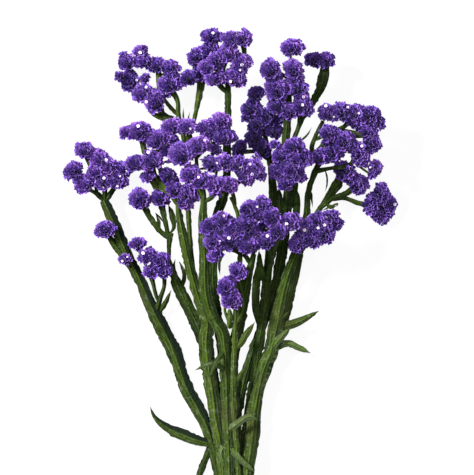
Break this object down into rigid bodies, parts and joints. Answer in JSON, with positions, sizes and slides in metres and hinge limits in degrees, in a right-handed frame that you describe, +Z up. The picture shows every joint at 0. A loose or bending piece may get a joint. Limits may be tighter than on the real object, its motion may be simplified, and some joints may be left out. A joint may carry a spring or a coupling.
{
  "type": "dried statice bunch",
  "caption": "Bunch of dried statice lying down: winged green stems that fork into flat sprays of papery violet flower heads, with plain cut ends",
  "frame": {"origin": "bottom centre of the bunch's box, on the surface that it lies on", "axes": "+Y along the stems from the cut ends to the flowers, +Z up from the surface, +X to the right as seen from above with the flowers away"},
  "size_m": [0.3382, 0.5034, 0.0792],
  "materials": {
    "green_stem": "matte",
    "violet_calyx": "matte"
  },
  "bodies": {
    "root": {"stem_1": "green_stem", "stem_2": "green_stem", "stem_3": "green_stem", "stem_4": "green_stem", "stem_5": "green_stem", "stem_6": "green_stem", "stem_7": "green_stem", "stem_8": "green_stem", "stem_9": "green_stem", "stem_10": "green_stem", "stem_11": "green_stem", "heads_far_left": "violet_calyx", "heads_far_right": "violet_calyx", "heads_front_left": "violet_calyx", "heads_front_middle": "violet_calyx", "heads_front_right": "violet_calyx", "heads_inner_back": "violet_calyx", "heads_inner_right": "violet_calyx", "heads_left_bud": "violet_calyx", "heads_left_side": "violet_calyx", "heads_low_left": "violet_calyx", "heads_low_middle": "violet_calyx", "heads_middle": "violet_calyx", "heads_right": "violet_calyx", "heads_right_bud": "violet_calyx", "heads_small_left": "violet_calyx", "heads_small_right": "violet_calyx", "heads_top": "violet_calyx", "heads_top_back": "violet_calyx", "heads_top_left": "violet_calyx", "heads_upper_left": "violet_calyx", "heads_upper_right": "violet_calyx"}
  },
  "joints": []
}
